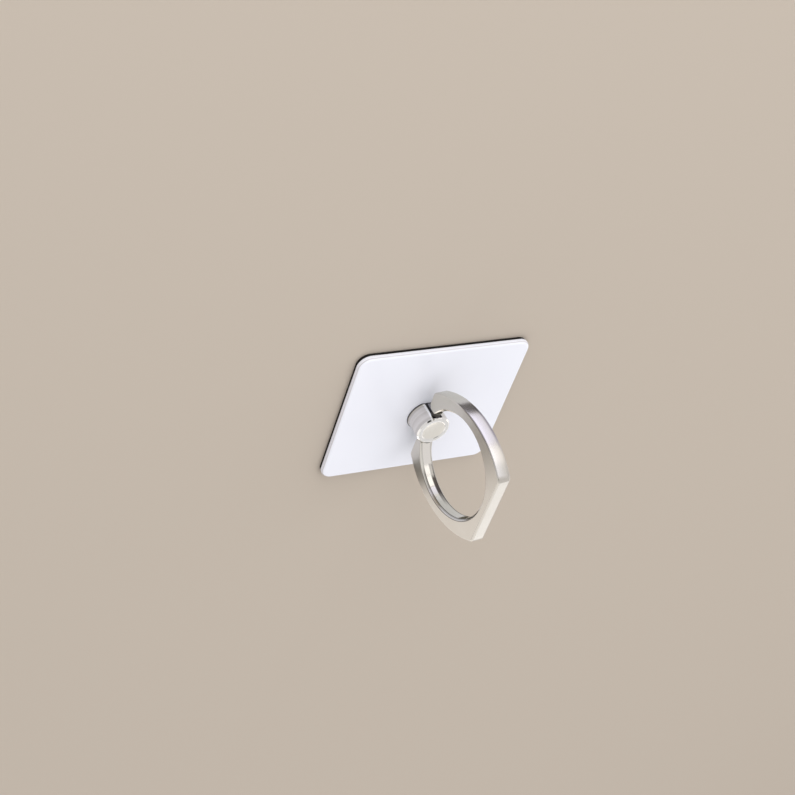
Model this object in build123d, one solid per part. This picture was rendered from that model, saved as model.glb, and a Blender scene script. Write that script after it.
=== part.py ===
from build123d import *
import math
import os

# Ring holder: a stick-on plate, a post that swivels in it and a finger ring that hinges on the post.
# Millimetres. The origin is the middle of the sticky face, which lies on Z = 0. X runs along the plate's
# long side, Y along its short side and Z out of the plate.

# Plate and its adhesive pad
plate_length = 40.4
plate_width = 35.0
plate_thickness = 0.95
plate_corner_radius = 2.7
plate_edge_round = 0.7
pad_thickness = 0.75
pad_inset = 0.15

# Swivel post: a turned barrel whose stem is swaged under the plate
post_offset_y = -1.2
post_diameter = 7.5
post_height = 4.8
post_across_flats = 7.2
post_rim_chamfer = 0.3
post_rim_width = 0.75
post_dish_depth = 0.12
post_foot_flare = 0.25
post_foot_flare_height = 0.4
stem_diameter = 3.4
swaged_head_diameter = 4.8
swaged_head_thickness = 0.18

# Washers in the recess under the plate
recess_diameter = 8.0
recess_depth = 0.65
spring_washer_outer = 6.8
spring_washer_gauge = 0.1
spring_washer_rise = 0.1
retaining_washer_outer = 7.2
retaining_washer_thickness = 0.18

# Hinge across the post
hinge_height = 5.1
pin_diameter = 1.3
pin_end_chamfer = 0.15
pin_socket_depth = 2.6
pin_recess = 0.4
sleeve_outer = 2.0
sleeve_upper_overhang = 1.05
sleeve_lower_overhang = 0.05
hinge_washer_outer = 2.4
hinge_washer_thickness = 0.3

# Finger ring: flat ended barrel outline around a round finger hole
ring_height = 25.6
ring_width = 27.7
ring_flat_width = 18.1
ring_thickness = 3.1
ring_tail = 1.2
ring_bore = 22.5
ring_bore_rise = 11.1
ring_bore_chamfer = 0.5
ring_edge_chamfer = 0.2
ring_corner_radius = 0.9
ring_nose_round = 0.5
ring_lean = 5.0

# Fits
running_clearance = 0.05
seat_clearance = 0.02
pin_clearance = 0.02

# Levels and places worked out from the sizes above
plate_top = pad_thickness + plate_thickness
post_foot = plate_top + running_clearance
post_top = plate_top + post_height
recess_floor = pad_thickness + recess_depth
spring_top = recess_floor - seat_clearance
spring_bottom = spring_top - spring_washer_gauge - spring_washer_rise
retainer_top = spring_bottom - seat_clearance
retainer_bottom = retainer_top - retaining_washer_thickness
head_top = retainer_bottom
head_bottom = head_top - swaged_head_thickness
stem_hole_radius = stem_diameter / 2 + running_clearance
sleeve_upper_end = post_across_flats / 2 + sleeve_upper_overhang
sleeve_lower_end = post_across_flats / 2 + sleeve_lower_overhang
washer_seat = hinge_washer_thickness + 2 * seat_clearance
upper_nose = sleeve_upper_end + washer_seat
lower_nose = sleeve_lower_end + washer_seat
ring_far_end = ring_height - ring_tail
ring_middle = ring_far_end - ring_height / 2
post_axis = Pos(0, post_offset_y, 0)
hinge_axis = Pos(0, post_offset_y, hinge_height)
lean = math.radians(ring_lean)
ring_plane = Plane(
    origin=(0, post_offset_y, hinge_height),
    x_dir=(0, 1, 0),
    z_dir=(math.cos(lean), 0, -math.sin(lean)),
)


def upright(radius, low, high):
    """A cylinder about the post's axis between two levels."""
    return post_axis * Pos(0, 0, (low + high) / 2) * Cylinder(radius, high - low)


def along_hinge(radius, start, stop):
    """A cylinder about the hinge axis between two distances from the post's axis along Y."""
    return hinge_axis * Pos(0, (start + stop) / 2, 0) * Rot(X=-90) * Cylinder(radius, stop - start)


def turned(points):
    """A solid turned about the post's axis from (radius, level) points."""
    outline = make_face(Plane.XZ * Polyline(*points, close=True))
    return post_axis * revolve(outline, Axis.Z)


def make_adhesive_pad():
    """Foam tape that covers the plate's back, set in a little from its edge."""
    length = plate_length - 2 * pad_inset
    width = plate_width - 2 * pad_inset
    return extrude(RectangleRounded(length, width, plate_corner_radius - pad_inset), pad_thickness)


def make_base_plate():
    """Plate with a rounded front edge, the stem's hole and a recess behind it for the washers."""
    outline = RectangleRounded(plate_length, plate_width, plate_corner_radius)
    plate = Pos(0, 0, pad_thickness) * extrude(outline, plate_thickness)
    plate = fillet(plate.edges().group_by(Axis.Z)[-1], plate_edge_round)
    plate -= upright(recess_diameter / 2, pad_thickness, recess_floor)
    return plate - upright(stem_hole_radius, recess_floor, plate_top)


def make_swivel_post():
    """Barrel with a flared foot, a dished end, two flats, a cross bore and a stem swaged under the plate."""
    barrel = post_diameter / 2
    rim = barrel - post_rim_chamfer
    dish = rim - post_rim_width
    dish_floor = post_top - post_dish_depth
    stem = stem_diameter / 2
    head = swaged_head_diameter / 2
    post = turned([
        (0, head_bottom),
        (head, head_bottom),
        (head, head_top),
        (stem, head_top),
        (stem, post_foot),
        (barrel + post_foot_flare, post_foot),
        (barrel, post_foot + post_foot_flare_height),
        (barrel, post_top - post_rim_chamfer),
        (rim, post_top),
        (dish, post_top),
        (dish - post_dish_depth, dish_floor),
        (0, dish_floor),
    ])
    foot_diameter = post_diameter + 2 * post_foot_flare
    between_flats = post_axis * Pos(0, 0, post_top / 2) * Box(foot_diameter, post_across_flats, post_top)
    return (post & between_flats) - along_hinge(sleeve_outer / 2, -post_diameter, post_diameter)


def make_spring_washer():
    """Coned spring washer that loads the swivel."""
    inner = stem_hole_radius
    outer = spring_washer_outer / 2
    return turned([
        (inner, spring_top - spring_washer_gauge),
        (inner, spring_top),
        (outer, spring_top - spring_washer_rise),
        (outer, spring_bottom),
    ])


def make_retaining_washer():
    """Flat washer held up by the swaged head."""
    washer = upright(retaining_washer_outer / 2, retainer_bottom, retainer_top)
    return washer - upright(stem_diameter / 2 + seat_clearance, retainer_bottom, retainer_top)


def make_friction_sleeve():
    """Plastic sleeve in the post's cross bore that grips the pin and spaces the ring's upper end."""
    tube = along_hinge(sleeve_outer / 2, -sleeve_lower_end, sleeve_upper_end)
    return tube - along_hinge(pin_diameter / 2 + pin_clearance, -sleeve_lower_end, sleeve_upper_end)


def outline_half_width(rise):
    """Half the ring's width at a distance from the hinge axis, on the arc through its belly and corners."""
    belly = ring_width / 2
    corner = ring_flat_width / 2
    half_height = ring_height / 2
    drop = belly - corner
    radius = (half_height**2 + drop**2) / (2 * drop)
    return belly - radius + math.sqrt(radius**2 - (rise - ring_middle) ** 2)


def make_hinge_pin():
    """Steel pin driven in through the lower end of the ring, through the post, into the upper end."""
    pin = along_hinge(pin_diameter / 2, pin_recess - outline_half_width(0), upper_nose + pin_socket_depth)
    return chamfer(pin.edges().filter_by(GeomType.CIRCLE), pin_end_chamfer)


def make_hinge_washer(start):
    """Bright washer between the sleeve and one end of the ring, from a distance along the hinge."""
    stop = start + hinge_washer_thickness
    washer = along_hinge(hinge_washer_outer / 2, start, stop)
    return washer - along_hinge(pin_diameter / 2 + pin_clearance, start, stop)


def ring_outline():
    """The ring's outer outline in its own plane, open between its two ends."""
    corner = ring_flat_width / 2
    right = ThreePointArc((corner, -ring_tail), (ring_width / 2, ring_middle), (corner, ring_far_end))
    left = ThreePointArc((-corner, ring_far_end), (-ring_width / 2, ring_middle), (-corner, -ring_tail))
    tail = Line((-corner, -ring_tail), (corner, -ring_tail))
    tip = Line((corner, ring_far_end), (-corner, ring_far_end))
    face = make_face([right, tip, left, tail])
    face = fillet(face.vertices(), ring_corner_radius)
    slot_height = ring_tail + ring_bore_rise
    slot = Pos((upper_nose - lower_nose) / 2, ring_bore_rise - slot_height / 2)
    face -= slot * Rectangle(upper_nose + lower_nose, slot_height)
    margin = seat_clearance
    noses = face.vertices().filter_by_position(Axis.X, -lower_nose - margin, upper_nose + margin)
    return fillet(noses.group_by(Axis.Y)[0], ring_nose_round)


def make_finger_ring():
    """Cast ring with chamfered edges, a round finger hole and a cross hole for the pin in each end."""
    half = ring_thickness / 2
    ring = extrude(ring_outline(), half, both=True)
    ring = chamfer(ring.edges().filter_by(Plane.XY), ring_edge_chamfer)
    bore = ring_bore / 2
    mouth = bore + ring_bore_chamfer
    hole = Cylinder(bore, ring_thickness)
    for side in (-1, 1):
        cone = Cone(bore, mouth, ring_bore_chamfer)
        if side < 0:
            cone = Cone(mouth, bore, ring_bore_chamfer)
        hole += Pos(0, 0, side * (half - ring_bore_chamfer / 2)) * cone
    ring = ring_plane * (ring - Pos(0, ring_bore_rise) * hole)
    cross_hole = pin_diameter / 2 + pin_clearance
    return ring - along_hinge(cross_hole, -ring_width / 2, upper_nose + pin_socket_depth + seat_clearance)


nodes = {
    "adhesive_pad": make_adhesive_pad(),
    "base_plate": make_base_plate(),
    "swivel_post": make_swivel_post(),
    "spring_washer": make_spring_washer(),
    "retaining_washer": make_retaining_washer(),
    "friction_sleeve": make_friction_sleeve(),
    "hinge_pin": make_hinge_pin(),
    "hinge_washer_upper": make_hinge_washer(sleeve_upper_end + seat_clearance),
    "hinge_washer_lower": make_hinge_washer(seat_clearance - lower_nose),
    "finger_ring": make_finger_ring(),
}

os.makedirs("parts", exist_ok=True)
for name, solid in nodes.items():
    export_step(solid, f"parts/{name}.step")
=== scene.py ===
import logging
import math
from dataclasses import dataclass, field
from enum import Enum

import bmesh
import bpy
from mathutils import Euler, Matrix, Vector


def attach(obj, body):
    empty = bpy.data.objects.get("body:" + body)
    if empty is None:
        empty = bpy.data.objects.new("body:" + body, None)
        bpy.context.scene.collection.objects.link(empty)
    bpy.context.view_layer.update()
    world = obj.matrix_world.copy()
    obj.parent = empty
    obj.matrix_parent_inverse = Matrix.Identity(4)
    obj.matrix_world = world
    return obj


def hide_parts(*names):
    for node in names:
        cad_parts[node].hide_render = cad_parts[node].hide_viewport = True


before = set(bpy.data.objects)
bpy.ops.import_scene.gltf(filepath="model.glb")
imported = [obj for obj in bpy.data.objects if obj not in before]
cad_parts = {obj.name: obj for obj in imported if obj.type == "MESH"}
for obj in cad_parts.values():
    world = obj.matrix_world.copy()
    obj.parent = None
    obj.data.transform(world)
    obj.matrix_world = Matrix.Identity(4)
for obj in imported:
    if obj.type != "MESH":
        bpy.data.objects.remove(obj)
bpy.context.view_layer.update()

LOG = logging.getLogger("ring_holder")
MM = 0.001

Colour = tuple[float, float, float]
Point = tuple[float, float, float]
Flat = tuple[float, float]


class Body(Enum):
    """The bodies that pieces ride on."""

    POST = "post"
    RING = "ring"


class Slot(Enum):
    """The record's slot names for the post's chrome and the ring's nickel."""

    CHROME = "post_chrome"
    NICKEL = "ring_nickel"


@dataclass(frozen=True)
class Span:
    """A stretch over which a value grows from 0 to 1, or falls if its width is below 0. Millimetres."""

    start: float
    width: float


class Signal:
    """A node's output socket that takes part in Python arithmetic."""

    def __init__(self, sheet: "NodeSheet", socket: bpy.types.NodeSocket) -> None:
        """Wraps a socket of a sheet's tree."""
        self.sheet = sheet
        self.socket = socket

    def math(self, operation: str, *others: object) -> "Signal":
        """Adds a Math node that starts from this value.

        Args:
            operation: the Math node's operation.
            others: the values or signals of its next inputs.

        Returns:
            The node's result.
        """
        values = dict(enumerate((self, *others)))
        return self.sheet.node("ShaderNodeMath", {"operation": operation}, values)

    def __add__(self, other: object) -> "Signal":
        """Sum."""
        return self.math("ADD", other)

    def __sub__(self, other: object) -> "Signal":
        """Difference."""
        return self.math("SUBTRACT", other)

    def __rsub__(self, other: object) -> "Signal":
        """Difference from a number."""
        return self.math("MULTIPLY_ADD", -1.0, other)

    def __mul__(self, other: object) -> "Signal":
        """Product."""
        return self.math("MULTIPLY", other)

    def __truediv__(self, other: object) -> "Signal":
        """Quotient."""
        return self.math("DIVIDE", other)

    def __mod__(self, other: object) -> "Signal":
        """Remainder."""
        return self.math("MODULO", other)

    def __gt__(self, other: object) -> "Signal":
        """1 where this value is the larger one, otherwise 0."""
        return self.math("GREATER_THAN", other)

    def clamp(self, low: object, high: object) -> "Signal":
        """This value held between two others."""
        return self.math("MAXIMUM", low).math("MINIMUM", high)

    __radd__ = __add__
    __rmul__ = __mul__


class NodeSheet:
    """A node tree that is being drawn up."""

    def __init__(self, tree: bpy.types.NodeTree) -> None:
        """Keeps the tree."""
        self.tree = tree

    def node(self, kind: str, settings: dict | None = None, sockets: dict | None = None,
             output: str | int = 0) -> Signal:
        """Adds a node.

        Args:
            kind: the node's type.
            settings: its own settings, set first.
            sockets: input name or index to a value or a signal.
            output: the output to hand back.

        Returns:
            The chosen output.
        """
        made = self.tree.nodes.new(kind)
        for name, value in (settings or {}).items():
            setattr(made, name, value)
        for key, value in (sockets or {}).items():
            self.feed(made.inputs[key], value)
        return Signal(self, made.outputs[output])

    def feed(self, socket: bpy.types.NodeSocket, value: object) -> None:
        """Links an input or sets its value.

        Args:
            socket: the input.
            value: a signal, a list of signals or a plain value.
        """
        if isinstance(value, Signal):
            value = [value]
        if isinstance(value, list):
            for signal in value:
                self.tree.links.new(signal.socket, socket)
        else:
            socket.default_value = value

    def vector(self, operation: str, first: object, second: object) -> Signal:
        """Adds a Vector Math node; for SCALE the second value is the factor."""
        second_key = "Scale" if operation == "SCALE" else 1
        return self.node("ShaderNodeVectorMath", {"operation": operation}, {0: first, second_key: second})

    def split(self, vector: Signal) -> list[Signal]:
        """The three parts of a vector."""
        parts = self.node("ShaderNodeSeparateXYZ", None, {0: vector})
        return [Signal(self, socket) for socket in parts.socket.node.outputs]

    def joined(self, x: object, y: object, z: object) -> Signal:
        """A vector from its three parts."""
        return self.node("ShaderNodeCombineXYZ", None, {0: x, 1: y, 2: z})


class ShaderSheet(NodeSheet):
    """The node tree of a finish."""

    def place(self) -> Signal:
        """The Object coordinates, in metres."""
        return self.node("ShaderNodeTexCoord", output="Object")

    def kept(self, name: str, output: str = "Fac") -> Signal:
        """A value that the mesh carries under a name."""
        return self.node("ShaderNodeAttribute", {"attribute_name": name}, None, output)

    def noise(self, size: float, detail: float = 2.0, stretch: Point = (1.0, 1.0, 1.0),
              where: Signal | None = None) -> Signal:
        """A noise from 0 to 1.

        Args:
            size: the size of its features in metres.
            detail: octaves of finer detail.
            stretch: how much longer the features are along each axis.
            where: the coordinates to read, or none for Object coordinates.

        Returns:
            The noise's value.
        """
        scale = tuple(1.0 / (size * s) for s in stretch)
        sample = self.node("ShaderNodeMapping", None, {"Vector": where or self.place(), "Scale": scale})
        return self.node("ShaderNodeTexNoise", None, {"Vector": sample, "Scale": 1.0, "Detail": detail})

    def ramp(self, value: Signal, span: Span, low: object = 0.0, high: float = 1.0) -> Signal:
        """How far a value has come through a span.

        Args:
            value: the value, in metres.
            span: the span.
            low: the least that is handed back.
            high: the most that is handed back.

        Returns:
            The share of the span that is behind it.
        """
        return ((value - span.start * MM) / (span.width * MM)).clamp(low, high)

    def blend(self, share: Signal, low: object, high: object) -> Signal:
        """A colour between two colours.

        Args:
            share: 0 for the first colour and 1 for the second.
            low: the first colour, or a signal that gives it.
            high: the second colour, or a signal that gives it.

        Returns:
            The mixed colour.
        """
        ends = [c if isinstance(c, Signal) else (*c, 1.0) for c in (low, high)]
        return self.node("ShaderNodeMix", {"data_type": "RGBA"}, {0: share, 6: ends[0], 7: ends[1]}, 2)

    def bump(self, height: Signal, depth: float) -> Signal:
        """A normal from a height.

        Args:
            height: 0 to 1.
            depth: what a height of 1 stands for, in metres.

        Returns:
            The bumped normal.
        """
        return self.node("ShaderNodeBump", None, {"Height": height, "Distance": depth})


class ShapeSheet(NodeSheet):
    """A Geometry Nodes tree that turns a guide wire into a piece."""

    def __init__(self, name: str) -> None:
        """Starts a tree with one geometry in and one out.

        Args:
            name: the tree's name.
        """
        super().__init__(bpy.data.node_groups.new(name, "GeometryNodeTree"))
        self.tree.interface.new_socket("Piece", in_out="OUTPUT", socket_type="NodeSocketGeometry")
        self.tree.interface.new_socket("Guide", in_out="INPUT", socket_type="NodeSocketGeometry")
        self.entry = self.tree.nodes.new("NodeGroupInput")

    def guide(self) -> Signal:
        """The guide wire."""
        return Signal(self, self.entry.outputs["Guide"])

    def size(self, name: str) -> Signal:
        """A named size that the piece sets."""
        self.tree.interface.new_socket(name, in_out="INPUT", socket_type="NodeSocketFloat")
        return Signal(self, self.entry.outputs[name])

    def finish_choice(self) -> Signal:
        """The material that the piece sets."""
        self.tree.interface.new_socket("Finish", in_out="INPUT", socket_type="NodeSocketMaterial")
        return Signal(self, self.entry.outputs["Finish"])

    def lattice(self, columns: object, rows: object) -> tuple[Signal, Signal, Signal]:
        """A sheet of faces to be bent into shape.

        Args:
            columns: points along the guide or round the axis.
            rows: points across it.

        Returns:
            The sheet, and each point's column and row.
        """
        sheet = self.node("GeometryNodeMeshGrid", None, {"Vertices X": columns, "Vertices Y": rows})
        index = self.node("GeometryNodeInputIndex")
        return sheet, (index / rows).math("FLOOR"), index % rows

    def at(self, kind: str, value: Signal, index: Signal) -> Signal:
        """A value of the guide's point with that index."""
        asked = {0: self.guide(), 1: value, 2: index}
        return self.node("GeometryNodeSampleIndex", {"data_type": kind}, asked)

    def kept(self, kind: str, name: str) -> Signal:
        """A value that the guide carries under a name."""
        return self.node("GeometryNodeInputNamedAttribute", {"data_type": kind}, {"Name": name})

    def keep(self, kind: str, piece: Signal, name: str, value: Signal) -> Signal:
        """The piece with one more value kept on its points."""
        kept = {"Geometry": piece, "Name": name, "Value": value}
        return self.node("GeometryNodeStoreNamedAttribute", {"data_type": kind, "domain": "POINT"}, kept)

    def moved(self, piece: Signal, position: Signal) -> Signal:
        """The piece with its points put in place."""
        return self.node("GeometryNodeSetPosition", None, {"Geometry": piece, "Position": position})

    def welded(self, piece: Signal) -> Signal:
        """The piece with its seams and poles closed."""
        return self.node("GeometryNodeMergeByDistance", None, {"Geometry": piece, "Distance": 0.0005 * MM})

    def flipped(self, piece: Signal) -> Signal:
        """The piece with its faces turned over."""
        return self.node("GeometryNodeFlipFaces", None, {0: piece})

    def shifted(self, piece: Signal, way: object) -> Signal:
        """The piece moved by a vector."""
        return self.node("GeometryNodeTransform", None, {"Geometry": piece, "Translation": way})

    def rod(self, radius: object, length: object, middle: object, turn: Point) -> Signal:
        """A round rod to drill with.

        Args:
            radius: the rod's radius.
            length: the rod's length.
            middle: where its middle is.
            turn: its rotation.

        Returns:
            The rod's mesh.
        """
        rod = self.node("GeometryNodeMeshCylinder", None, {"Vertices": 72, "Radius": radius, "Depth": length})
        return self.node("GeometryNodeTransform", None,
                         {"Geometry": rod, "Translation": middle, "Rotation": turn})

    def drilled(self, piece: Signal, rod: Signal) -> Signal:
        """The piece less the rod."""
        settings = {"operation": "DIFFERENCE", "solver": "EXACT"}
        return self.node("GeometryNodeMeshBoolean", settings, {"Mesh 1": piece, "Mesh 2": rod})

    def deliver(self, piece: Signal) -> None:
        """Ends the tree with the piece as one mesh in its finish.

        Args:
            piece: the finished shape.
        """
        whole = self.node("GeometryNodeRealizeInstances", None, {0: piece})
        choice = {"Geometry": whole, "Material": self.finish_choice()}
        dressed = self.node("GeometryNodeSetMaterial", None, choice)
        self.feed(self.tree.nodes.new("NodeGroupOutput").inputs["Piece"], dressed)

    def make(self, name: str, guide: bpy.types.Mesh, sizes: dict[str, float],
             material: bpy.types.Material) -> bpy.types.Object:
        """Runs the tree on a guide.

        Args:
            name: the piece's name.
            guide: the wire that it starts from.
            sizes: the value of each named size.
            material: the piece's material.

        Returns:
            The piece as a plain mesh object.
        """
        piece = bpy.data.objects.new(name, guide)
        bpy.context.scene.collection.objects.link(piece)
        modifier = piece.modifiers.new("shape", "NODES")
        modifier.node_group = self.tree
        for item in self.tree.interface.items_tree:
            if item.name in sizes:
                modifier[item.identifier] = sizes[item.name]
            elif item.name == "Finish":
                modifier[item.identifier] = material
        graph = bpy.context.evaluated_depsgraph_get()
        mesh = bpy.data.meshes.new_from_object(piece.evaluated_get(graph))
        piece.modifiers.clear()
        piece.data = mesh
        mesh.name = name
        bpy.data.meshes.remove(guide)
        return piece


def close_shell(mesh: bpy.types.Mesh, soften: float) -> None:
    """Turns a closed mesh's faces outwards and shades it.

    Args:
        mesh: the mesh to finish.
        soften: the angle in degrees up to which edges are shaded smooth.
    """
    shell = bmesh.new()
    shell.from_mesh(mesh)
    loose = sum(not edge.is_manifold for edge in shell.edges)
    bmesh.ops.recalc_face_normals(shell, faces=shell.faces)
    if shell.calc_volume(signed=True) < 0:
        bmesh.ops.reverse_faces(shell, faces=shell.faces)
    LOG.info("%s: volume %.1f mm3, %d open edges", mesh.name, shell.calc_volume() / MM**3, loose)
    shell.to_mesh(mesh)
    shell.free()
    mesh.shade_smooth()
    mesh.set_sharp_from_angle(angle=math.radians(soften))


@dataclass(frozen=True)
class Finish:
    """A surface finish. Its material is made once and shared."""

    name: str

    def material(self) -> bpy.types.Material:
        """Makes the finish's material at its first use.

        Returns:
            The material.
        """
        found = bpy.data.materials.get(self.name)
        if found:
            return found
        made = bpy.data.materials.new(self.name)
        made.use_nodes = True
        sheet = ShaderSheet(made.node_tree)
        shader = made.node_tree.nodes["Principled BSDF"]
        for socket, value in self.sockets(sheet).items():
            sheet.feed(shader.inputs[socket], value)
        return made

    def sockets(self, sheet: ShaderSheet) -> dict[str, object]:
        """The shader's inputs, which each finish gives for itself."""
        raise NotImplementedError


@dataclass(frozen=True)
class WhiteLacquer(Finish):
    """Gloss white lacquer with a trace of orange peel."""

    name: str = "white_lacquer"
    shade: Colour = (0.80, 0.815, 0.895)
    cast: Colour = (0.83, 0.84, 0.92)
    # Painted shade: the colour, height and width of a dark line round the edge's rounding.
    painted_edge_shade: Colour = (0.50, 0.47, 0.49)
    painted_edge_shade_level: float = 1.4 * MM
    painted_edge_shade_width: float = 0.14 * MM
    drift_size: float = 9 * MM
    peel_size: float = 0.6 * MM
    peel_depth: float = 0.0012 * MM
    gloss_size: float = 0.25 * MM

    def sockets(self, sheet: ShaderSheet) -> dict[str, object]:
        """White with a faint cool drift, orange peel and a painted dark line on the edge's rounding, which
        stands in for a dark reflection.

        Args:
            sheet: the node tree.

        Returns:
            The inputs by name.
        """
        drift = sheet.noise(self.drift_size, 1.0)
        peel = sheet.noise(self.peel_size, 2.0)
        level = sheet.split(sheet.place())[2]
        # Painted shade: a dark line at one height on the edge's rounding, in place of a dark reflection.
        painted_edge_shade = (1 - (level - self.painted_edge_shade_level).math("ABSOLUTE") / self.painted_edge_shade_width).clamp(0.0, 1.0)
        white = sheet.blend(drift, self.shade, self.cast)
        return {
            "Base Color": sheet.blend(painted_edge_shade * (drift * 0.4 + 0.6), white, self.painted_edge_shade),
            "Roughness": sheet.noise(self.gloss_size, 3.0) * 0.06 + 0.12,
            "Normal": sheet.bump(peel, self.peel_depth),
            "Specular IOR Level": 0.45,
        }


@dataclass(frozen=True)
class FoamTape(Finish):
    """Dark foam tape with open cells."""

    name: str = "foam_tape"
    shade: Colour = (0.007, 0.0065, 0.006)
    bright: Colour = (0.026, 0.024, 0.023)
    cell_size: float = 0.12 * MM
    cell_depth: float = 0.03 * MM

    def sockets(self, sheet: ShaderSheet) -> dict[str, object]:
        """Nearly black with paler cell walls.

        Args:
            sheet: the node tree.

        Returns:
            The inputs by name.
        """
        layout = {"Vector": sheet.place(), "Scale": 1 / self.cell_size}
        cells = sheet.node("ShaderNodeTexVoronoi", None, layout)
        return {
            "Base Color": sheet.blend(cells, self.shade, self.bright),
            "Roughness": cells * 0.2 + 0.75,
            "Specular IOR Level": 0.15,
            "Normal": sheet.bump(cells, self.cell_depth),
        }


@dataclass(frozen=True)
class SatinNickel(Finish):
    """Nickel plating: satin on the faces, polished on the sides and brightest in the hole, with painted light
    and shade laid over it: the hole's mirror tone is partly a painted reflection, and painted shade lies low
    down near the upper end, far up the hole, in dark lines along the hole's edges and in a dark streak in its
    rear half, with a painted highlight and painted shade along the upper side.

    Spans run along the height above the plate, across the ring or through its thickness.
    """

    name: str = "satin_nickel"
    tint: Colour = (0.655, 0.62, 0.565)
    bright: Colour = (0.69, 0.66, 0.61)
    # Painted light and shade: mirror is partly polish and partly a painted reflection; shade is painted
    # shade; the next four are a painted dark line, a painted dark streak, a painted highlight and painted
    # rear shade.
    mirror: Colour = (0.92, 0.895, 0.84)
    shade: Colour = (0.57, 0.55, 0.475)
    painted_line_shade: Colour = (0.06, 0.05, 0.04)
    shade_streak_colour: Colour = (0.03, 0.02, 0.014)
    painted_highlight: Colour = (0.99, 0.97, 0.97)
    painted_rear_shade: Colour = (0.27, 0.255, 0.27)
    face_roughness: float = 0.32
    polish_gain: float = 0.21
    grain_size: float = 0.06 * MM
    line_size: float = 0.02 * MM
    line_stretch: Point = (90.0, 1.0, 1.0)
    patch_size: float = 3.0 * MM
    relief: float = 0.0016 * MM
    # Spans of the painted dark streak of shade in the hole's rear half.
    shade_streak_rear: Span = Span(0.05, 0.25)
    shade_streak_faint: Span = Span(8.3, 0.6)
    shade_streak_start: Span = Span(9.5, 1.5)
    shade_streak_stop: Span = Span(18.0, -4.0)
    shade_streak_from: float = 2.0 * MM
    # Spans of the painted highlight, painted shade and painted dark line along the upper side.
    side_from: float = 7.0 * MM
    side_start: Span = Span(12.0, 2.0)
    side_stop: Span = Span(29.0, -0.5)
    painted_highlight_fall: Span = Span(1.25, -2.5)
    painted_rear_shade_rise: Span = Span(0.7, 0.6)
    painted_rear_shade_fade: Span = Span(26.0, -6.0)
    line_fade: Span = Span(32.0, -10.0)
    # Spans that place the mirror tone and the painted shade across the ring, low down, far up the hole and
    # along the hole's edges.
    lower_side: Span = Span(3.0, -3.0)
    upper_side: Span = Span(0.0, 3.0)
    low_shade_part: Span = Span(12.0, -3.0)
    far_shade_part: Span = Span(12.5, 4.0)
    front_line: Span = Span(-0.97, -0.05)
    back_line: Span = Span(0.8, 0.1)
    line_growth: Span = Span(8.0, 2.0)

    def shade_streak(self, sheet: ShaderSheet, depth: Signal) -> Signal:
        """Where painted shade darkens the rear half of the hole's wall as a dark streak.

        Args:
            sheet: the node tree.
            depth: how far a point lies behind the middle.

        Returns:
            How much painted shade, from 0 to 1.
        """
        _, across, rise = sheet.split(sheet.place())
        rear = sheet.ramp(depth, self.shade_streak_rear)
        faint = sheet.ramp(rise, self.shade_streak_faint, high=0.5)
        start = sheet.ramp(rise, self.shade_streak_start, low=faint)
        stop = sheet.ramp(rise, self.shade_streak_stop)
        return rear * start * stop * (across * -1.0 > self.shade_streak_from)

    def painted_side_light(self, sheet: ShaderSheet, plated: Signal, depth: Signal) -> Signal:
        """The colour with painted light and shade along the ring's upper side: a painted highlight towards
        its front edge, painted shade towards its rear edge and a painted dark line on its front rounding.

        Args:
            sheet: the node tree.
            plated: the colour of the plating.
            depth: how far a point lies behind the middle.

        Returns:
            The changed colour.
        """
        band = sheet.kept("band")
        _, across, rise = sheet.split(sheet.place())
        side = sheet.ramp(rise, self.side_start) * sheet.ramp(rise, self.side_stop)
        side = side * (across > self.side_from) * (1 - sheet.kept("mouth"))
        # Painted highlight towards the front of the side, painted shade towards its rear.
        painted_highlight = sheet.ramp(depth, self.painted_highlight_fall) * band * side
        painted_rear_shade = sheet.ramp(depth, self.painted_rear_shade_rise) * (band * 3).clamp(0.0, 1.0) * side
        painted_rear_shade = painted_rear_shade * sheet.ramp(rise, self.painted_rear_shade_fade, low=0.2)
        # Painted shade: a dark line on the front rounding.
        line = band * (1 - band) * (depth * -1.0 > 0.0) * side
        line = line * sheet.ramp(rise, self.line_fade, low=0.4) * 3
        plated = sheet.blend(painted_highlight, plated, self.painted_highlight)
        plated = sheet.blend(painted_rear_shade, plated, self.painted_rear_shade)
        return sheet.blend(line, plated, self.painted_line_shade)

    def sockets(self, sheet: ShaderSheet) -> dict[str, object]:
        """Blasted grain on the faces, polishing lines along the sides, and painted shade as dark lines along
        the edges.

        Args:
            sheet: the node tree.

        Returns:
            The inputs by name.
        """
        band = sheet.kept("band")
        mouth = sheet.kept("mouth")
        wall = band * mouth
        depth = sheet.split(sheet.kept("run", "Vector"))[1]
        _, across, rise = sheet.split(sheet.place())
        lower = sheet.ramp(across, self.lower_side)
        upper = sheet.ramp(across, self.upper_side, high=0.6)
        # The lower side of the hole's wall takes the mirror tone near the hinge end: partly polish, partly a
        # painted reflection.
        hollow = (band * 3).clamp(0.0, 1.0) * mouth * lower
        # Painted shade: low down, the outer side and the upper part of the faces take the shade colour.
        low = sheet.ramp(rise, self.low_shade_part) * band.math("MAXIMUM", upper) * (1 - mouth)
        polish = band * (mouth * 0.45 + 0.55)
        worn = band * (1 - band) * 4
        grain = sheet.noise(self.grain_size, 4.0)
        lines = sheet.noise(self.line_size, 2.0, self.line_stretch, sheet.kept("run", "Vector"))
        texture = grain * (1 - polish) + lines * polish * 0.5
        # Painted shade: a dark streak in the rear half of the hole's wall, on its lower side, that also makes
        # it a little rougher.
        shade_streak = self.shade_streak(sheet, depth) * wall
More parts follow.
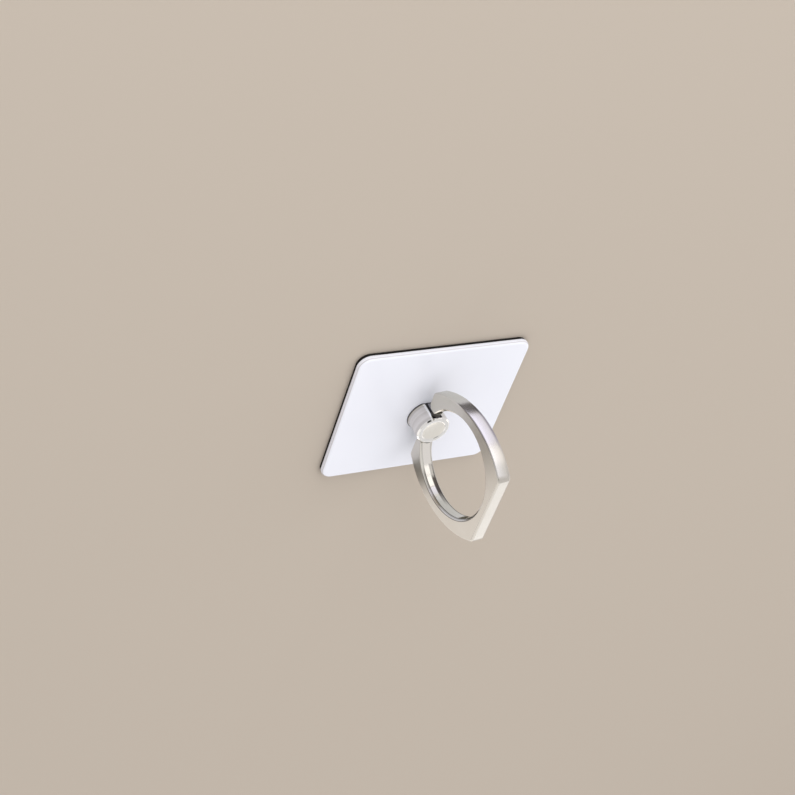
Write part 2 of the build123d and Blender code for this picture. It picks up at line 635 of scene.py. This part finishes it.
        # Painted shade: dark lines along the hole's wall at its front and rear and along its chamfer's
        # borders, stronger on the lower side and higher up.
        front = sheet.ramp(depth, self.front_line)
        back = sheet.ramp(depth, self.back_line, high=0.9)
        edge = (front.math("MAXIMUM", back) * wall).math("MAXIMUM", sheet.kept("corner"))
        edge = edge * (lower * 0.65 + 0.35) * sheet.ramp(rise, self.line_growth, low=0.3)
        # Painted shade: far up the hole, its wall takes the shade colour instead of the mirror tone.
        far = sheet.ramp(rise, self.far_shade_part) * ((band - 0.9) * 10).clamp(0.0, 1.0)
        plated = sheet.blend(sheet.noise(self.patch_size, 2.0), self.tint, self.bright)
        plated = sheet.blend(low, plated, self.shade)
        # Painted light and shade along the upper side.
        plated = self.painted_side_light(sheet, plated, depth)
        plated = sheet.blend(hollow, plated, sheet.blend(far, self.mirror, self.shade))
        plated = sheet.blend(shade_streak * 0.92, plated, self.shade_streak_colour)
        gloss = polish * self.polish_gain + worn * 0.06 - shade_streak * 0.12
        return {
            "Base Color": sheet.blend(edge * 0.85, plated, self.painted_line_shade),
            "Metallic": 1.0,
            "Roughness": self.face_roughness - gloss + texture * 0.06,
            "Normal": sheet.bump(texture, self.relief),
        }


@dataclass(frozen=True)
class TurnedChrome(Finish):
    """Chrome over a turned part, with painted light and shade: its milled flats and foot line are painted
    dark as shade, lighter in the middle of each flat, the barrel beside the flats carries a painted
    highlight, the barrel is a darker copy of the chrome as painted shade, and its flank behind the ring takes
    a painted tone of its own.
    """

    name: str = "turned_chrome"
    axis_y: float = -1.2 * MM
    edge_top: float = 6.15 * MM
    tint: Colour = (0.84, 0.81, 0.75)
    bright: Colour = (0.88, 0.85, 0.80)
    # Painted shade: the barrel is a darker copy of the end's chrome; streak is a random lighter tone on it.
    barrel: Colour = (0.585, 0.555, 0.525)
    streak: Colour = (0.77, 0.74, 0.715)
    rim: Colour = (0.86, 0.85, 0.84)
    # Painted highlight beside the flats.
    edge: Colour = (0.97, 0.965, 0.955)
    # Painted shade: the flats and the foot line are dark, lighter in the middle of each flat.
    painted_flat_shade: Colour = (0.042, 0.041, 0.044)
    middle: Colour = (0.36, 0.35, 0.38)
    # Painted tone for how light falls on the flank behind the ring: lighter than the barrel, darker than the
    # end.
    painted_flank: Colour = (0.66, 0.63, 0.57)
    pitch: float = 0.055 * MM
    haze_size: float = 0.4 * MM
    streak_size: float = 0.5 * MM
    relief: float = 0.0004 * MM
    # Spans of the painted shade on the flats and the foot, the painted highlight beside the flats and the
    # painted tone of the flank; rim_part places the rim's cooler tone.
    flat_part: Span = Span(3.585, 0.01)
    painted_highlight_part: Span = Span(3.42, 0.04)
    foot_part: Span = Span(2.08, -0.2)
    rim_part: Span = Span(2.3, 0.5)
    painted_flank_right: Span = Span(0.0, 0.6)
    painted_flank_upper: Span = Span(1.0, 1.0)
    flat_line: Span = Span(0.42, 0.06)

    def sockets(self, sheet: ShaderSheet) -> dict[str, object]:
        """Turning rings on the end and round the barrel, and a light haze.

        Args:
            sheet: the node tree.

        Returns:
            The inputs by name.
        """
        x, y, z = sheet.split(sheet.place())
        reach = y - self.axis_y
        radius = (x * x + reach * reach).math("SQRT")
        rings = ((radius + z) * (2 * math.pi / self.pitch)).math("SINE") * 0.5 + 0.5
        haze = sheet.noise(self.haze_size, 3.0)
        side = reach.math("ABSOLUTE")
        # Painted shade: the flats and the foot line go dark.
        foot = sheet.ramp(z, self.foot_part)
        flat = sheet.ramp(side, self.flat_part).math("MAXIMUM", foot)
        below = (self.edge_top - z) > 0.0
        # Painted highlight on the barrel beside the flats.
        edge = sheet.ramp(side, self.painted_highlight_part) * below
        streaks = sheet.noise(self.streak_size, 2.0, where=sheet.joined(radius, 0.0, z))
        streaks = ((streaks - 0.35) / 0.3).clamp(0.0, 1.0)
        # Painted tone for the light on the flank behind the ring.
        painted_flank_mask = sheet.ramp(x, self.painted_flank_right) * sheet.ramp(reach, self.painted_flank_upper) * below
        # Painted shade on the flats: darkest towards their sides and at the foot, lighter in the middle.
        line = sheet.ramp(x.math("ABSOLUTE"), self.flat_line).math("MAXIMUM", foot)
        plated = sheet.blend(haze, self.tint, self.bright)
        plated = sheet.blend(sheet.ramp(radius, self.rim_part), plated, self.rim)
        # Painted shade: the barrel below the end is darker.
        plated = sheet.blend(below, plated, sheet.blend(streaks, self.barrel, self.streak))
        plated = sheet.blend(edge, plated, self.edge)
        plated = sheet.blend(painted_flank_mask, plated, self.painted_flank)
        painted_flat_shade = sheet.blend(line, self.middle, self.painted_flat_shade)
        return {
            "Base Color": sheet.blend(flat, plated, painted_flat_shade),
            "Metallic": 1.0,
            "Roughness": haze * 0.07 + rings * 0.03 + flat * 0.35 + 0.07,
            "Normal": sheet.bump(rings * haze, self.relief),
        }


@dataclass(frozen=True)
class BrushedSteel(Finish):
    """Plain steel of pins and washers."""

    name: str = "brushed_steel"
    shade: Colour = (0.55, 0.54, 0.52)
    bright: Colour = (0.68, 0.67, 0.65)
    grain_size: float = 0.05 * MM
    grain_stretch: Point = (1.0, 8.0, 1.0)
    grain_depth: float = 0.0006 * MM

    def sockets(self, sheet: ShaderSheet) -> dict[str, object]:
        """Grey steel with a short grain.

        Args:
            sheet: the node tree.

        Returns:
            The inputs by name.
        """
        grain = sheet.noise(self.grain_size, 3.0, self.grain_stretch)
        return {
            "Base Color": sheet.blend(grain, self.shade, self.bright),
            "Metallic": 1.0,
            "Roughness": grain * 0.12 + 0.2,
            "Normal": sheet.bump(grain, self.grain_depth),
        }


@dataclass(frozen=True)
class DarkSteel(BrushedSteel):
    """Steel in a much darker tone, for the hinge's pin and washers."""

    name: str = "dark_steel"
    shade: Colour = (0.12, 0.112, 0.09)
    bright: Colour = (0.22, 0.21, 0.18)


@dataclass(frozen=True)
class SleevePlastic(Finish):
    """Dark moulded plastic."""

    name: str = "sleeve_plastic"
    shade: Colour = (0.045, 0.042, 0.030)
    bright: Colour = (0.085, 0.080, 0.058)
    texture_size: float = 0.05 * MM
    texture_depth: float = 0.002 * MM

    def sockets(self, sheet: ShaderSheet) -> dict[str, object]:
        """Near black with a fine moulded texture.

        Args:
            sheet: the node tree.

        Returns:
            The inputs by name.
        """
        texture = sheet.noise(self.texture_size, 2.0)
        return {
            "Base Color": sheet.blend(texture, self.shade, self.bright),
            "Roughness": texture * 0.15 + 0.4,
            "Normal": sheet.bump(texture, self.texture_depth),
        }


def dress(node: str, finish: Finish) -> None:
    """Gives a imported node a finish.

    Args:
        node: the node's name.
        finish: its finish.
    """
    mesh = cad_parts[node].data
    mesh.materials.clear()
    mesh.materials.append(finish.material())
    LOG.info("%s: %s", node, finish.name)


def wire(name: str, points: list[Point], closed: bool) -> bpy.types.Mesh:
    """A guide wire through points.

    Args:
        name: the mesh's name.
        points: the points in order.
        closed: whether the last point joins the first.

    Returns:
        The wire's mesh.
    """
    count = len(points)
    edges = [(i, (i + 1) % count) for i in range(count if closed else count - 1)]
    mesh = bpy.data.meshes.new(name)
    mesh.from_pydata(points, edges, [])
    return mesh


def arc(centre: Flat, radius: float, start: float, stop: float, steps: int) -> list[Flat]:
    """Points along an arc.

    Args:
        centre: the arc's centre.
        radius: its radius.
        start: the first point's angle.
        stop: the last point's angle.
        steps: how many spaces there are between its points.

    Returns:
        The points in order.
    """
    angles = [start + (stop - start) * i / steps for i in range(steps + 1)]
    return [(centre[0] + radius * math.cos(a), centre[1] + radius * math.sin(a)) for a in angles]


def eased(corners: list[Flat], radius: float, steps: int = 4) -> list[Flat]:
    """An open outline with its inner corners rounded off.

    Args:
        corners: the outline's corners in order.
        radius: how far from each corner the rounding starts.
        steps: spaces between the points of each rounding.

    Returns:
        The eased outline.
    """
    points = [corners[0]]
    for before, corner, after in zip(corners, corners[1:], corners[2:]):
        c = Vector(corner)
        ends = []
        for other in (before, after):
            way = Vector(other) - c
            ends.append(c + way.normalized() * min(radius, way.length * 0.45))
        for i in range(steps + 1):
            t = i / steps
            spot = ends[0] * (1 - t) ** 2 + c * (2 * t * (1 - t)) + ends[1] * t**2
            points.append((spot.x, spot.y))
    return [*points, corners[-1]]


@dataclass
class MountPlate:
    """The white plate and the tape on its back."""

    lacquer: Finish = field(default_factory=WhiteLacquer)
    tape: Finish = field(default_factory=FoamTape)

    def build(self) -> None:
        """Dresses the plate and the tape."""
        dress("base_plate", self.lacquer)
        dress("adhesive_pad", self.tape)


@dataclass
class SwivelPost:
    """The turned post with its sleeve and the washers that hold it. Sizes in metres."""

    axis_y: float = -1.2 * MM
    barrel: float = 3.75 * MM
    half_flats: float = 3.6 * MM
    foot: float = 1.75 * MM
    top: float = 6.5 * MM
    rim_chamfer: float = 0.3 * MM
    rim_width: float = 0.75 * MM
    dish_depth: float = 0.12 * MM
    foot_flare: float = 0.25 * MM
    flare_height: float = 0.4 * MM
    stem: float = 1.7 * MM
    head: float = 2.4 * MM
    head_top: float = 0.98 * MM
    head_bottom: float = 0.8 * MM
    edge_ease: float = 0.045 * MM
    facets: int = 224
    soften: float = 32.0
    bore: float = 1.0 * MM
    bore_level: float = 5.1 * MM
    chrome: Finish = field(default_factory=TurnedChrome)
    steel: Finish = field(default_factory=BrushedSteel)
    plastic: Finish = field(default_factory=SleevePlastic)

    def profile(self) -> list[Flat]:
        """The post's profile from the head up to the dished end.

        Returns:
            Its (radius, level) points.
        """
        rim = self.barrel - self.rim_chamfer
        dish = rim - self.rim_width
        floor = self.top - self.dish_depth
        return eased([
            (0.0, self.head_bottom),
            (self.head, self.head_bottom),
            (self.head, self.head_top),
            (self.stem, self.head_top),
            (self.stem, self.foot),
            (self.barrel + self.foot_flare, self.foot),
            (self.barrel, self.foot + self.flare_height),
            (self.barrel, self.top - self.rim_chamfer),
            (rim, self.top),
            (dish, self.top),
            (dish - self.dish_depth, floor),
            (0.0, floor),
        ], self.edge_ease)

    @staticmethod
    def turned_tree() -> ShapeSheet:
        """The tree that turns a profile about an upright axis, mills two flats and drills a cross bore.

        Returns:
            The tree, which takes the profile as its guide.
        """
        tree = ShapeSheet("turned_piece")
        facets = tree.size("Facets")
        half_flats = tree.size("Half flats")
        axis_y = tree.size("Axis Y")
        bore = tree.size("Bore")
        level = tree.size("Bore level")
        rows = tree.node("GeometryNodeAttributeDomainSize", None, {0: tree.guide()})
        sheet, column, row = tree.lattice(facets + 1, rows)
        spot = tree.at("FLOAT_VECTOR", tree.node("GeometryNodeInputPosition"), row)
        radius, _, height = tree.split(spot)
        angle = (column % facets) / facets * (2 * math.pi)
        across = (radius * angle.math("SINE")).clamp(half_flats * -1.0, half_flats)
        place = tree.joined(radius * angle.math("COSINE"), across + axis_y, height)
        piece = tree.welded(tree.moved(sheet, place))
        rod = tree.rod(bore, half_flats * 4, tree.joined(0.0, axis_y, level), (math.pi / 2, 0.0, 0.0))
        tree.deliver(tree.drilled(piece, rod))
        return tree

    def build_post(self) -> bpy.types.Object:
        """Turns the post.

        Returns:
            The post as a plain mesh object.
        """
        guide = wire("post_profile", [(r, 0.0, z) for r, z in self.profile()], False)
        sizes = {
            "Facets": float(self.facets),
            "Half flats": self.half_flats,
            "Axis Y": self.axis_y,
            "Bore": self.bore,
            "Bore level": self.bore_level,
        }
        post = self.turned_tree().make("turned_post", guide, sizes, self.chrome.material())
        close_shell(post.data, self.soften)
        LOG.info("turned_post: %d faces", len(post.data.polygons))
        return post

    def build(self) -> None:
        """Makes the post and dresses the pieces around it."""
        post = self.build_post()
        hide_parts("swivel_post")
        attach(post, Body.POST.value)
        dress("friction_sleeve", self.plastic)
        dress("spring_washer", self.steel)
        dress("retaining_washer", self.steel)


@dataclass
class FingerRing:
    """The finger ring with its pin and washers. Sizes in metres, in the ring's own plane."""

    hinge: Point = (0.0, -1.2 * MM, 5.1 * MM)
    lean: float = 5.0
    height: float = 25.6 * MM
    width: float = 27.7 * MM
    flat_width: float = 18.1 * MM
    thickness: float = 3.1 * MM
    tail: float = 1.2 * MM
    bore: float = 11.25 * MM
    bore_rise: float = 11.1 * MM
    bore_chamfer: float = 0.5 * MM
    corner_radius: float = 0.9 * MM
    upper_nose: float = 4.99 * MM
    lower_nose: float = 3.99 * MM
    nose_round: float = 1.3 * MM
    nose_ease: float = 0.12 * MM
    nose_ramp: float = 4.0 * MM
    bore_corner: float = 0.2 * MM
    side_ease: float = 0.3 * MM
    far_ease: float = 0.42 * MM
    lip: float = 0.06 * MM
    bore_steps: int = 110
    soften: float = 60.0
    pin_hole: float = 0.67 * MM
    pin_socket_end: float = 7.61 * MM
    nickel: Finish = field(default_factory=SatinNickel)
    steel: Finish = field(default_factory=DarkSteel)

    def half_outline(self, nose: float) -> list[tuple[Flat, float, float]]:
        """Half of the ring's outline, from the middle of its far end round to the top of its hole.

        Args:
            nose: how far from the post's axis this half's end is.

        Returns:
            For each point its place, the size of its edge and whether it lies on the hole.
        """
        belly, corner = self.width / 2, self.flat_width / 2
        drop = belly - corner
        side = ((self.height / 2) ** 2 + drop**2) / (2 * drop)
        far, near = self.height - self.tail, -self.tail
        middle = (far + near) / 2
        side_centre = (belly - side, middle)
        r = self.corner_radius
        turn = math.asin((far - r - middle) / (side - r))
        corner_s = side_centre[0] + (side - r) * math.cos(turn)
        e = self.bore_corner
        ease_s = nose + e
        ease_u = self.bore_rise - math.sqrt((self.bore + e) ** 2 - ease_s**2)
        ease_turn = math.atan2(ease_u - self.bore_rise, ease_s)
        n = self.nose_round
        quarter = math.pi / 2
        runs = [
            ([(corner_s * i / 8, far) for i in range(8)], self.far_ease, 0.0),
            (arc((corner_s, far - r), r, quarter, turn, 12), self.far_ease, 0.0),
            (arc(side_centre, side, turn, -turn, 96)[1:-1], self.side_ease, 0.0),
            (arc((corner_s, near + r), r, -turn, -quarter, 12), self.side_ease, 0.0),
            (arc((nose + n, near + n), n, -quarter, -2 * quarter, 10), self.side_ease, 0.0),
            (arc((ease_s, ease_u), e, 2 * quarter, ease_turn + 2 * quarter, 6), self.nose_ease, 0.0),
        ]
        outline = [(spot, size, mouth) for spots, size, mouth in runs for spot in spots]
        steps = self.bore_steps
        ramp = self.bore * (quarter - ease_turn) / steps / self.nose_ramp
        for i, spot in enumerate(arc((0.0, self.bore_rise), self.bore, ease_turn, quarter, steps)[1:], 1):
            growth = (self.bore_chamfer - self.nose_ease) * min(1.0, i * ramp)
            outline.append((spot, self.nose_ease + growth, 1.0))
        return outline

    def guide(self) -> bpy.types.Mesh:
        """The ring's outline as a closed wire that carries each point's edge size, inward way and run.

        Returns:
            The guide wire.
        """
        lower = self.half_outline(self.lower_nose)[1:-1]
        whole = self.half_outline(self.upper_nose) + [((-s, u), *rest) for (s, u), *rest in reversed(lower)]
        start = len(whole) - next(i for i, (_, _, mouth) in enumerate(reversed(whole)) if mouth) + 3
        whole = whole[start:] + whole[:start]
        count = len(whole)
        spots = [Vector(spot) for spot, _, _ in whole]
        mesh = wire("ring_outline", [(s.x, s.y, 0.0) for s in spots], True)
        inward, run, length = [], [], 0.0
        for i, spot in enumerate(spots):
            back, ahead = spot - spots[i - 1], spots[(i + 1) % count] - spot
            back_way, ahead_way = back.normalized(), ahead.normalized()
            mean = (back_way + ahead_way).normalized()
            spread = max(0.5, mean.dot(ahead_way))
            inward += [mean.y / spread, -mean.x / spread, 0.0]
            length += back.length if i else 0.0
            run.append(length)
        for name, values in (
            ("edge", [size for _, size, _ in whole]),
            ("mouth", [mouth for _, _, mouth in whole]),
            ("run", run),
        ):
            mesh.attributes.new(name, "FLOAT", "POINT").data.foreach_set("value", values)
        mesh.attributes.new("inward", "FLOAT_VECTOR", "POINT").data.foreach_set("vector", inward)
        return mesh

    @staticmethod
    def edged_tree() -> ShapeSheet:
        """The tree that carries an edged section round an outline and drills a cross hole.

        The section's rows run from the front face over its edge, across the side and to the back face. An
        edge is a quarter round, or a chamfer where the outline is the mouth of the hole.

        Returns:
            The tree, which takes the outline as its guide.
        """
        tree = ShapeSheet("edged_ring")
        half = tree.size("Half thickness")
        lip = tree.size("Lip")
        hole = tree.size("Hole")
        hole_start = tree.size("Hole start")
        hole_end = tree.size("Hole end")
        steps = 10
        rows = 2 * (steps + 3)
        stations = tree.node("GeometryNodeAttributeDomainSize", None, {0: tree.guide()})
        sheet, column, row = tree.lattice(stations + 1, rows)
        station = column % stations
        spot = tree.at("FLOAT_VECTOR", tree.node("GeometryNodeInputPosition"), station)
        inward = tree.at("FLOAT_VECTOR", tree.kept("FLOAT_VECTOR", "inward"), station)
        edge = tree.at("FLOAT", tree.kept("FLOAT", "edge"), station)
        mouth = tree.at("FLOAT", tree.kept("FLOAT", "mouth"), station)
        run = tree.at("FLOAT", tree.kept("FLOAT", "run"), station)
        back = row > (rows / 2 - 0.5)
        depth = row + back * (rows - 1 - row * 2)
        share = ((depth - 1) / steps).clamp(0.0, 1.0)
        share = 0.5 - (share * math.pi).math("COSINE") * 0.5
        turn = share * (math.pi / 2)
        round_in, round_down = 1 - turn.math("SINE"), 1 - turn.math("COSINE")
        inset = edge * (round_in + mouth * (1 - share - round_in)) + lip * (1 - (depth > 0.5))
        drop = edge * (round_down + mouth * (share - round_down)) + lip * (depth > (steps + 1.5))
        level = (half - drop) * (back * 2 - 1)
        shift = tree.vector("ADD", tree.vector("SCALE", inward, inset), tree.joined(0.0, 0.0, level))
        piece = tree.moved(sheet, tree.vector("ADD", spot, shift))
        piece = tree.keep("FLOAT", piece, "band", share)
        piece = tree.keep("FLOAT", piece, "mouth", mouth)
        # Marks the borders of the hole's chamfer, where the nickel finish paints dark lines of shade.
        corner = ((share - 0.5).math("ABSOLUTE") > 0.4) * (depth > 0.5) * (1 - (depth > (steps + 1.5)))
        piece = tree.keep("FLOAT", piece, "corner", corner * mouth)
        piece = tree.keep("FLOAT_VECTOR", piece, "run", tree.joined(run, level, inset))
        rim = tree.vector("SCALE", tree.kept("FLOAT_VECTOR", "inward"), tree.kept("FLOAT", "edge") + lip)
        rim = tree.node("GeometryNodeSetPosition", None, {"Geometry": tree.guide(), "Offset": rim})
        curve = tree.node("GeometryNodeMeshToCurve", None, {0: rim})
        face = tree.node("GeometryNodeFillCurve", None, {0: curve})
        front = tree.shifted(tree.flipped(face), tree.joined(0.0, 0.0, half * -1))
        rear = tree.shifted(face, tree.joined(0.0, 0.0, half))
        shell = [tree.flipped(piece), front, rear]
        piece = tree.welded(tree.node("GeometryNodeJoinGeometry", None, {0: shell}))
        middle = tree.joined((hole_start + hole_end) * 0.5, 0.0, 0.0)
        rod = tree.rod(hole, hole_end - hole_start, middle, (0.0, math.pi / 2, 0.0))
        tree.deliver(tree.drilled(piece, rod))
        return tree

    def build_ring(self) -> bpy.types.Object:
        """Makes the ring in its own plane and then stands it on the hinge.

        Returns:
            The ring as a plain mesh object.
        """
        sizes = {
            "Half thickness": self.thickness / 2,
            "Lip": self.lip,
            "Hole": self.pin_hole,
            "Hole start": -self.width / 2,
            "Hole end": self.pin_socket_end,
        }
        ring = self.edged_tree().make("nickel_ring", self.guide(), sizes, self.nickel.material())
        close_shell(ring.data, self.soften)
        lean = math.radians(self.lean)
        up = Vector((math.sin(lean), 0.0, math.cos(lean)))
        normal = Vector((math.cos(lean), 0.0, -math.sin(lean)))
        turn = Matrix((Vector((0.0, 1.0, 0.0)), up, normal)).transposed().to_4x4()
        ring.data.transform(Matrix.Translation(self.hinge) @ turn)
        LOG.info("nickel_ring: %d faces", len(ring.data.polygons))
        return ring

    def build(self) -> None:
        """Makes the ring and dresses the pieces of its hinge."""
        ring = self.build_ring()
        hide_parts("finger_ring")
        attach(ring, Body.RING.value)
        for node in ("hinge_pin", "hinge_washer_upper", "hinge_washer_lower"):
            dress(node, self.steel)


@dataclass(frozen=True)
class Panel:
    """A square soft light that faces the object and leaves no reflection. Metres and watts."""

    name: str
    towards: Point
    distance: float
    size: float
    power: float


@dataclass(frozen=True)
class FloorCard:
    """A level card that shows only as a reflection. Its corners and level are in millimetres."""

    name: str
    glow: Colour
    corners: tuple[Flat, ...]
    level: float = 0.3


@dataclass(frozen=True)
class HungCard:
    """A card that faces the object and shows only as a reflection. Its sizes are in millimetres."""

    name: str
    glow: Colour
    towards: Point
    distance: float
    width: float
    height: float


FAR = 400
BORDER = ((-37, -32), (-22, -32), (-18, -29), (19, -29), (19, -18.5), (-20.6, -18.5), (-20.6, -3), (-37, -3))
PANELS = (
    Panel("low_front", (-0.15, 0.95, 0.28), 0.5, 0.3, 0.95),
    Panel("overhead", (0.1, 0.05, 0.98), 0.7, 1.0, 1.15),
    Panel("high_right", (0.75, 0.35, 0.6), 0.7, 0.5, 0.65),
    Panel("low_back", (-0.05, -0.8, 0.45), 0.6, 0.4, 0.3),
)
FLOOR_CARDS = (
    FloorCard("card_upper", (0.95, 0.93, 1.05), ((-FAR, 25), (FAR, 25), (FAR, FAR), (-FAR, FAR))),
    FloorCard("card_side", (0.92, 0.9, 0.9), ((21, -FAR), (FAR, -FAR), (FAR, 28), (21, 28))),
    FloorCard("card_lower", (1.02, 0.97, 0.93), ((-FAR, -FAR), (20, -FAR), (20, -30), (-FAR, -30))),
    FloorCard("dark_strip", (0.085, 0.08, 0.08), ((-12, 18), (19, 18), (19, 24.3), (-12, 24.3))),
    FloorCard("dark_border", (0.115, 0.105, 0.083), BORDER),
    FloorCard("dark_edge", (0.15, 0.14, 0.14), ((0, 13.9), (14, 13.9), (14, 17), (0, 17)), 6.0),
)
HUNG_CARDS = (
    HungCard("card_low_back", (1.7, 1.65, 1.6), (0.1, -0.97, 0.12), 400, 320, 130),
    HungCard("card_low_side", (1.5, 1.45, 1.4), (0.95, -0.3, 0.14), 400, 200, 130),
    HungCard("card_far", (1.42, 1.41, 1.42), (0.6, -0.69, 0.37), 1500, 593, 384),
    HungCard("card_skyline", (1.17, 1.13, 1.1), (0.59, 0.77, 0.19), 430, 260, 140),
    HungCard("card_over", (0.74, 0.72, 0.72), (0.68, 0.06, 0.64), 430, 600, 190),
    HungCard("card_glint", (1.15, 1.12, 1.1), (0.585, 0.50, 0.635), 59.5, 10, 16),
    HungCard("card_behind", (1.08, 1.05, 1.02), (-0.2, -0.76, 0.58), 430, 640, 300),
    HungCard("dark_card", (0.02, 0.02, 0.02), (-0.27, 0.5, 0.82), 420, 150, 150),
)


@dataclass
class Studio:
    """Floor, light and camera."""

    floor_shade: Colour = (0.50, 0.44, 0.38)
    floor_half: float = 1500 * MM
    floor_drop: float = 0.02 * MM
    sky_shade: Colour = (1.0, 0.985, 0.965)
    sky_strength: float = 0.78
    lens: float = 72.979
    sensor: float = 36.0
    camera_place: Point = (-164.994 * MM, 223.335 * MM, 194.066 * MM)
    camera_turn: Point = (-50.385, -24.021, 17.062)

    def lay_floor(self) -> None:
        """A plain pale floor just under the sticky face."""
        h, z = self.floor_half, -self.floor_drop
        floor = self.sheet("floor", [(-h, -h, z), (h, -h, z), (h, h, z), (-h, h, z)])
        paint = bpy.data.materials.new("floor_paint")
        paint.use_nodes = True
        shader = paint.node_tree.nodes["Principled BSDF"]
        shader.inputs["Base Color"].default_value = (*self.floor_shade, 1.0)
        shader.inputs["Roughness"].default_value = 0.9
        shader.inputs["Specular IOR Level"].default_value = 0.0
        floor.data.materials.append(paint)

    @staticmethod
    def sheet(name: str, corners: list[Point]) -> bpy.types.Object:
        """A flat sheet that stands on the stage.

        Args:
            name: the sheet's name.
            corners: its corners in order.

        Returns:
            The sheet's object.
        """
        mesh = bpy.data.meshes.new(name)
        mesh.from_pydata(corners, [], [tuple(range(len(corners)))])
        made = bpy.data.objects.new(name, mesh)
        bpy.context.scene.collection.objects.link(made)
        return made

    def hang_card(self, name: str, corners: list[Point], glow: Colour) -> None:
        """A card that shows only as a reflection.

        Args:
            name: the card's name.
            corners: its corners in order.
            glow: what it reflects, near black for a dark card.
        """
        card = self.sheet(name, corners)
        paper = bpy.data.materials.new(name)
        paper.use_nodes = True
        shader = paper.node_tree.nodes["Principled BSDF"]
        shader.inputs["Base Color"].default_value = (0.0, 0.0, 0.0, 1.0)
        shader.inputs["Specular IOR Level"].default_value = 0.0
        shader.inputs["Emission Color"].default_value = (*glow, 1.0)
        shader.inputs["Emission Strength"].default_value = 1.0
        card.data.materials.append(paper)
        card.visible_camera = False
        card.visible_diffuse = False
        card.visible_transmission = False
        card.visible_shadow = False

    def light_sky(self) -> None:
        """Even white light from all round."""
        world = bpy.data.worlds.new("studio")
        world.use_nodes = True
        background = world.node_tree.nodes["Background"]
        background.inputs["Color"].default_value = (*self.sky_shade, 1.0)
        background.inputs["Strength"].default_value = self.sky_strength
        bpy.context.scene.world = world
        bpy.context.scene.view_settings.view_transform = "Standard"

    def hang_panel(self, panel: Panel) -> None:
        """Hangs a soft light.

        Args:
            panel: the light.
        """
        lamp = bpy.data.lights.new(panel.name, "AREA")
        lamp.size = panel.size
        lamp.energy = panel.power
        light = bpy.data.objects.new(panel.name, lamp)
        direction = Vector(panel.towards).normalized()
        light.location = direction * panel.distance
        light.rotation_euler = direction.to_track_quat("Z", "Y").to_euler()
        light.visible_glossy = False
        bpy.context.scene.collection.objects.link(light)

    def hang_cards(self) -> None:
        """Hangs all that the bright parts mirror: pale and dark cards over the floor and round the object."""
        for card in FLOOR_CARDS:
            self.hang_card(card.name, [(x * MM, y * MM, card.level * MM) for x, y in card.corners], card.glow)
        for card in HUNG_CARDS:
            self.hang_card(card.name, self.square(card), card.glow)

    @staticmethod
    def square(card: HungCard) -> list[Point]:
        """The corners of an oblong that faces the object.

        Args:
            card: the card.

        Returns:
            The corners in order.
        """
        way = Vector(card.towards).normalized()
        side = way.cross(Vector((0.0, 0.0, 1.0))).normalized() * (card.width * MM / 2)
        rise = side.cross(way).normalized() * (card.height * MM / 2)
        middle = way * (card.distance * MM)
        return [tuple(middle + side * a + rise * b) for a, b in ((-1, -1), (1, -1), (1, 1), (-1, 1))]

    def set_camera(self) -> None:
        """The camera at the photograph's viewing angle."""
        data = bpy.data.cameras.new("camera")
        data.sensor_width = self.sensor
        data.lens = self.lens
        data.clip_start = 1 * MM
        camera = bpy.data.objects.new("camera", data)
        camera.location = self.camera_place
        camera.rotation_euler = Euler([math.radians(a) for a in self.camera_turn])
        bpy.context.scene.collection.objects.link(camera)
        bpy.context.scene.camera = camera

    def build(self) -> None:
        """Sets up the whole studio."""
        self.lay_floor()
        self.light_sky()
        for panel in PANELS:
            self.hang_panel(panel)
        self.hang_cards()
        self.set_camera()


def main() -> None:
    """Builds the studio and then the holder, from the plate up."""
    logging.basicConfig(level=logging.INFO, format="%(name)s: %(message)s")
    Studio().build()
    for part in (MountPlate(), SwivelPost(), FingerRing()):
        part.build()


if __name__ == "__main__":
    main()
